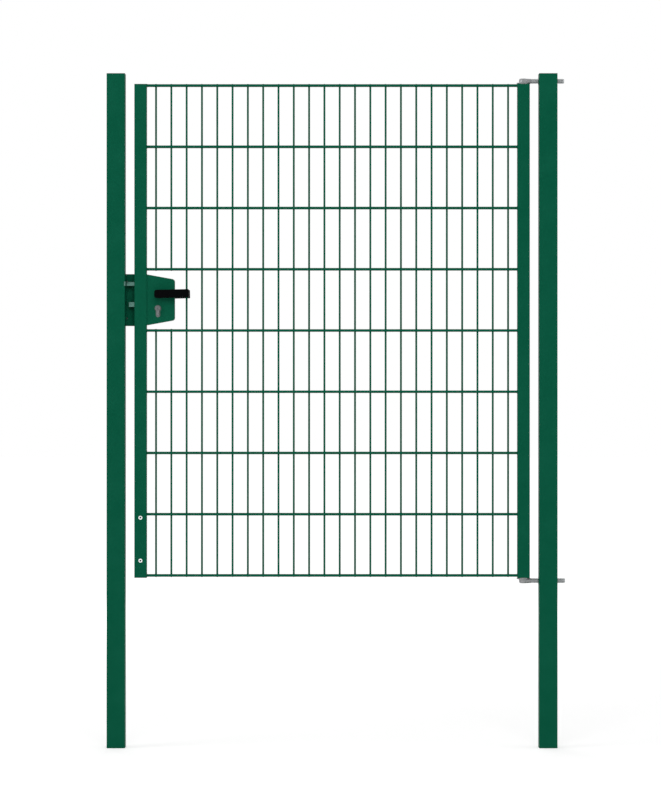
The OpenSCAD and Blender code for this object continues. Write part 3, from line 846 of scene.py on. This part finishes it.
def pin_and_block(level, solid, end_z, up):
    """The pin and its block at one end of the hinge stile; up is 1 at the top and -1 at the foot. The
    block's outline comes back, as the path of its weld."""
    low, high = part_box(solid)
    foot = Matrix.Translation(((low.x + high.x) / 2, 0, end_z)) @ Matrix.Diagonal((1, 1, up, 1))
    pin_h = (high.z - end_z if up > 0 else end_z - low.z) / MM
    block_h = (high.z - low.z) / MM - pin_h
    pin_r = BORE / 2 - PIN_PLAY
    bm = bmesh.new()
    turned(bm, [(0, -PIN_SUNK), (pin_r, -PIN_SUNK), (pin_r, pin_h - PIN_CHAMFER),
                (pin_r - PIN_CHAMFER, pin_h), (0, pin_h)], foot, 40)
    settle(as_object(level + "_hinge_pin_bare", mesh_from(level, bm), zinc), "leaf", "zinc", solid)
    reach = (high.x - low.x) / 2 / MM - BLOCK_CORNER
    corners = ((reach, reach), (-reach, reach), (-reach, -reach), (reach, -reach))
    outline = [point for turn, corner in enumerate(corners)
               for point in arc(corner, BLOCK_CORNER, 90 * turn, 90 * turn + 90)]
    bm = bmesh.new()
    prism(bm, [outline], foot @ Matrix.Rotation(pi / 2, 4, "X"), -block_h, 0)
    settle(as_object(level + "_stile_block", mesh_from(level, bm), green_coat), "leaf", "green_coat", solid)
    return [(foot @ Vector((x * MM, z * MM, 0))) for x, z in outline], True


block_seams = [pin_and_block("upper", "upper_hinge_pin", stile_high.z, 1),
               pin_and_block("lower", "lower_hinge_pin", stile_low.z, -1)]
block_beads = grow("stile_block_beads", bead_tree, green_coat, paths("stile_block_beads", block_seams),
                   Radius=0.0008, Ripple=0.0024, Step=0.0008, Seed=9.0)
settle(block_beads, "leaf", "green_coat")

# %% [markdown]
# ## Threaded inserts
# Two bright inserts in the latch stile take the screws of a stop or a handle. Each is a sleeve with
# a thin rounded flange, a countersunk mouth and a thread inside. It is turned on the lathe, lying
# towards -Y, and the same thread tree works with its ridge turned inward.

# %% Insert pieces
SHANK_R, SCREW_R, INSERT_FLANGE_T, FLANGE_ROUND = 4.5, 3.0, 1.0, 0.45
ROOM, SINK_DEPTH, SINK_WIDER, SINK_ROUND = 0.1, 1.2, 0.6, 0.25
INSERT_THREAD, INSERT_PITCH, THREAD_FIRST, THREAD_SHORT = 0.5, 1.0, 1.0, 2.5


def insert_piece(name, solid):
    """One insert, with its mouth towards the viewer and its thread joined in."""
    low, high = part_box(solid)
    flange_r, depth, hole_r = (high.x - low.x) / 2 / MM, (high.y - low.y) / MM, SCREW_R + ROOM
    mouth = Vector(((low.x + high.x) / 2, low.y, (low.z + high.z) / 2))
    profile = (arc((flange_r - FLANGE_ROUND, -FLANGE_ROUND), FLANGE_ROUND, 90, 0)
               + [(flange_r, -INSERT_FLANGE_T), (SHANK_R, -INSERT_FLANGE_T), (SHANK_R, -depth),
                  (hole_r, -depth), (hole_r, -SINK_DEPTH)]
               + arc((SCREW_R + SINK_WIDER + SINK_ROUND, -SINK_ROUND), SINK_ROUND, 180, 90, 2))
    out = Matrix.Translation(mouth) @ Matrix.Rotation(pi / 2, 4, "X")
    bm = bmesh.new()
    turned(bm, profile, out, 40)
    piece = as_object(name, mesh_from(name, bm), bright_zinc)
    cut = grow(name + "_thread", thread_tree, bright_zinc, Length=(depth - THREAD_SHORT) * MM,
               Root_Radius=hole_r * MM, Depth=INSERT_THREAD * MM, Pitch=INSERT_PITCH * MM,
               Turn_Steps=16, Inward=1.0)
    cut.data.transform(out @ Matrix.Translation((0, 0, -(depth - THREAD_FIRST) * MM)))
    return settle(joined(piece, cut), "leaf", "bright_zinc", solid)


insert_piece("upper_threaded_insert", "upper_insert")
insert_piece("lower_threaded_insert", "lower_insert")

# %% [markdown]
# ## The lock cylinder
# A profile cylinder is a round barrel over a narrower foot, with a turning plug that takes the key. We
# draw the outline once, extrude it, and cut the keyway with a Boolean. A thin collar of the same
# outline, a little larger, covers the edge of the hole on each side of the case.

# %% Cylinder outline
BARREL_R, FOOT_R, CYLINDER_H = 8.5, 5.0, 33.0


def cylinder_outline(extra, longer=0.0):
    """The outline in X and Z, in mm about the barrel's centre, grown by extra and longer at its foot."""
    barrel_r, foot_r = BARREL_R + extra, FOOT_R + extra
    dip = degrees(acos(foot_r / barrel_r))
    return (arc((0, 0), barrel_r, -dip, 180 + dip, 30)
            + arc((0, BARREL_R + FOOT_R - CYLINDER_H - longer), foot_r, 180, 360, 12))


# %% Boolean helpers
def helper_object(name, bm):
    """A mesh that only cuts or joins another piece and is then removed."""
    made = bpy.data.objects.new(name, mesh_from(name, bm))
    scene.collection.objects.link(made)
    return made


def combine(piece, operation, other):
    """Joins another solid to a piece, or cuts it out, and removes it."""
    boolean = piece.modifiers.new(operation, "BOOLEAN")
    boolean.operation = operation
    boolean.object = other
    plain_mesh(piece)
    bpy.data.objects.remove(other)


# %% Barrel and plug
PLUG_R, PLUG_PROUD, EDGE = 6.4, 0.5, 0.4
cylinder_low, cylinder_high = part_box("lock_cylinder")
barrel_x, barrel_z = (cylinder_low.x + cylinder_high.x) / 2, cylinder_high.z - BARREL_R * MM
barrel = Matrix.Translation((barrel_x, 0, barrel_z))
reach = (cylinder_high.y - cylinder_low.y) / 2 / MM


def rounded(piece):
    """Rounds a piece's sharp edges by EDGE millimetres."""
    bevel = piece.modifiers.new("round_edges", "BEVEL")
    bevel.width, bevel.segments = EDGE * MM, 2
    bevel.limit_method, bevel.angle_limit = "ANGLE", radians(60)
    return plain_mesh(piece)


bm = bmesh.new()
prism(bm, [cylinder_outline(0)], barrel, PLUG_PROUD - reach, reach - PLUG_PROUD)
cylinder = rounded(as_object("profile_cylinder", mesh_from("profile_cylinder", bm), nickel, crisp=0))
bm = bmesh.new()
turned(bm, [(0, -reach), (PLUG_R - EDGE, -reach), (PLUG_R, EDGE - reach), (PLUG_R, reach - EDGE),
            (PLUG_R - EDGE, reach), (0, reach)], barrel @ Matrix.Rotation(-pi / 2, 4, "X"), 48)
combine(cylinder, "UNION", helper_object("plug", bm))
print("plug:", 2 * PLUG_R, "mm across, proud by", PLUG_PROUD)

# %% Keyways
# The keyway's outline in X and Z about the barrel's centre, in mm
KEYWAY = [(-0.9, 2.2), (0.9, 2.2), (0.9, -0.6), (1.5, -1.2), (1.5, -2.8), (0.9, -3.4), (0.9, -6.6),
          (-0.9, -6.6), (-0.9, -4.4), (-0.3, -3.8), (-0.3, -2.4), (-0.9, -1.8)]
KEYWAY_DEPTH = 12
for face in (-reach, reach):
    bm = bmesh.new()
    prism(bm, [KEYWAY], barrel, face - KEYWAY_DEPTH, face + KEYWAY_DEPTH)
    combine(cylinder, "DIFFERENCE", helper_object("keyway", bm))
cylinder.data.shade_smooth()
cylinder.data.set_sharp_from_angle(angle=radians(35))
print("keyways:", KEYWAY_DEPTH, "mm deep")

# %% Collars
COLLAR, COLLAR_FOOT, COLLAR_T, COLLAR_ROOM = 2.0, 2.5, 1.5, 0.1
bm = bmesh.new()
for side in (-1, 1):
    face = side * case_high.y / MM
    prism(bm, [cylinder_outline(COLLAR_ROOM), cylinder_outline(COLLAR, COLLAR_FOOT)], barrel,
          face, face + side * COLLAR_T)
collar = rounded(as_object("collar", mesh_from("collar", bm), nickel, crisp=0))
settle(joined(cylinder, collar), "leaf", "lock_steel", "lock_cylinder")

# %% [markdown]
# ## Screws
# The keep plate is held to the latch post by two button-head screws. One head is turned on the lathe,
# with a hexagon for its socket, and a small tree sets it out along a line.

# %% Row tree
tree, given, end = growth("in_a_row", Count=2, Start=(0.0, 0.0, 0.0), Step=(0.0, 0.0, 0.1))
row_tree = end(row_of(tree, given["Geometry"], given["Count"], given["Start"], given["Step"]))
print("row tree:", len(row_tree.nodes), "nodes")


# %% Screw head
def button_head(name, radius, height, flats, towards):
    """A domed head with a hexagon socket, standing on the origin towards an axis."""
    bm = bmesh.new()
    turned(bm, [(0, height * 0.3), (flats / 2, height * 0.3, True), (flats / 2, height, True),
                (flats / 2 + 0.5, height), (radius * 0.66, height * 0.9), (radius * 0.87, height * 0.6),
                (radius, height * 0.12), (radius * 0.97, 0), (0, 0)], towards, 24)
    return mesh_from(name, bm)


# %% Screws in the keep
KEEP_T, SCREW_UP, SCREW_IN = 3, 60, 6.2
HEAD_R, HEAD_H, SOCKET = 4.75, 2.7, 3.0
keep_low, keep_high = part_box("keep_plate")
head = button_head("keep_screws", HEAD_R, HEAD_H, SOCKET, Matrix.Rotation(pi / 2, 4, "Y"))
start = (keep_low.x + KEEP_T * MM, keep_low.y + SCREW_IN * MM,
         (keep_low.z + keep_high.z) / 2 - SCREW_UP * MM)
screws = grow("keep_screws", row_tree, zinc, head, Count=2, Start=start, Step=(0, 0, 2 * SCREW_UP * MM))
settle(screws, "posts", "zinc")
